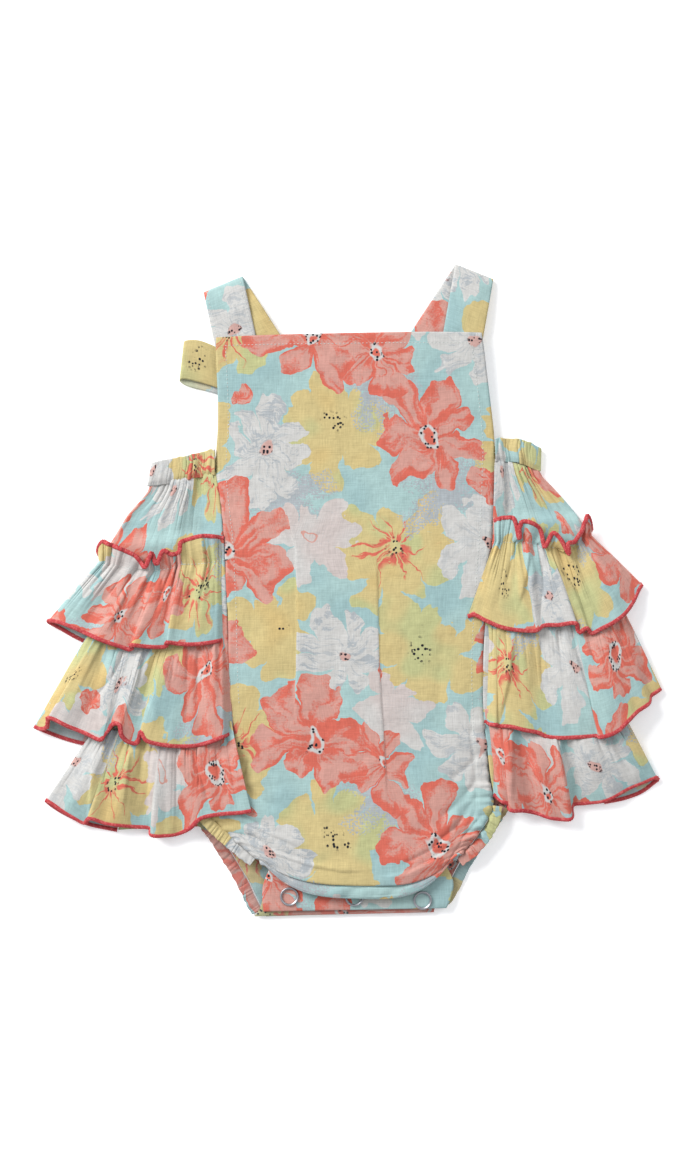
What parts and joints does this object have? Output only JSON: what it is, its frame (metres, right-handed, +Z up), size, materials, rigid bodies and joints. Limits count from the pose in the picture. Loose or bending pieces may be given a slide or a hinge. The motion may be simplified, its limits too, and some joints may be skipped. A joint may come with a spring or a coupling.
{
  "type": "baby romper",
  "caption": "Sleeveless baby sunsuit with a square bib, folded shoulder straps, gathered sides, tiers of ruffles round the hips and a snap crotch, laid flat with its front up.",
  "frame": {"origin": "under the middle of the laid-out garment, on the surface it lies on", "axes": "+X to the right as seen from above, +Y towards the neck, +Z up out of the surface, through the front of the garment"},
  "size_m": [0.3632, 0.3782, 0.0134],
  "materials": {
    "printed_cotton": "matt woven cotton with a flower print",
    "cotton_wrong_side": "matt wrong side of the printed cotton",
    "coral_thread": "overlocked thread",
    "ring_steel": "polished"
  },
  "bodies": {
    "root": {"front_panel": "printed_cotton", "side_panel_left": "printed_cotton", "side_panel_right": "printed_cotton", "back_panel": "cotton_wrong_side", "waist_casing_left": "printed_cotton", "waist_casing_right": "printed_cotton", "waist_casing_back": "printed_cotton", "ruffle_1_left": "printed_cotton", "ruffle_1_right": "printed_cotton", "ruffle_2_left": "printed_cotton", "ruffle_2_right": "printed_cotton", "ruffle_3_left": "printed_cotton", "ruffle_3_right": "printed_cotton", "ruffle_1_back": "printed_cotton", "ruffle_2_back": "printed_cotton", "ruffle_3_back": "printed_cotton", "leg_casing_front_left": "printed_cotton", "leg_casing_front_right": "printed_cotton", "leg_casing_back_left": "cotton_wrong_side", "leg_casing_back_right": "cotton_wrong_side", "snap_band_back": "cotton_wrong_side", "snap_band_front": "printed_cotton", "snap_ring_1": "ring_steel", "snap_ring_2": "ring_steel", "snap_ring_3": "ring_steel", "strap_left": "printed_cotton", "strap_right": "printed_cotton", "bow_loop_left": "printed_cotton", "bow_loop_right": "printed_cotton", "bow_knot": "printed_cotton"}
  },
  "joints": []
}
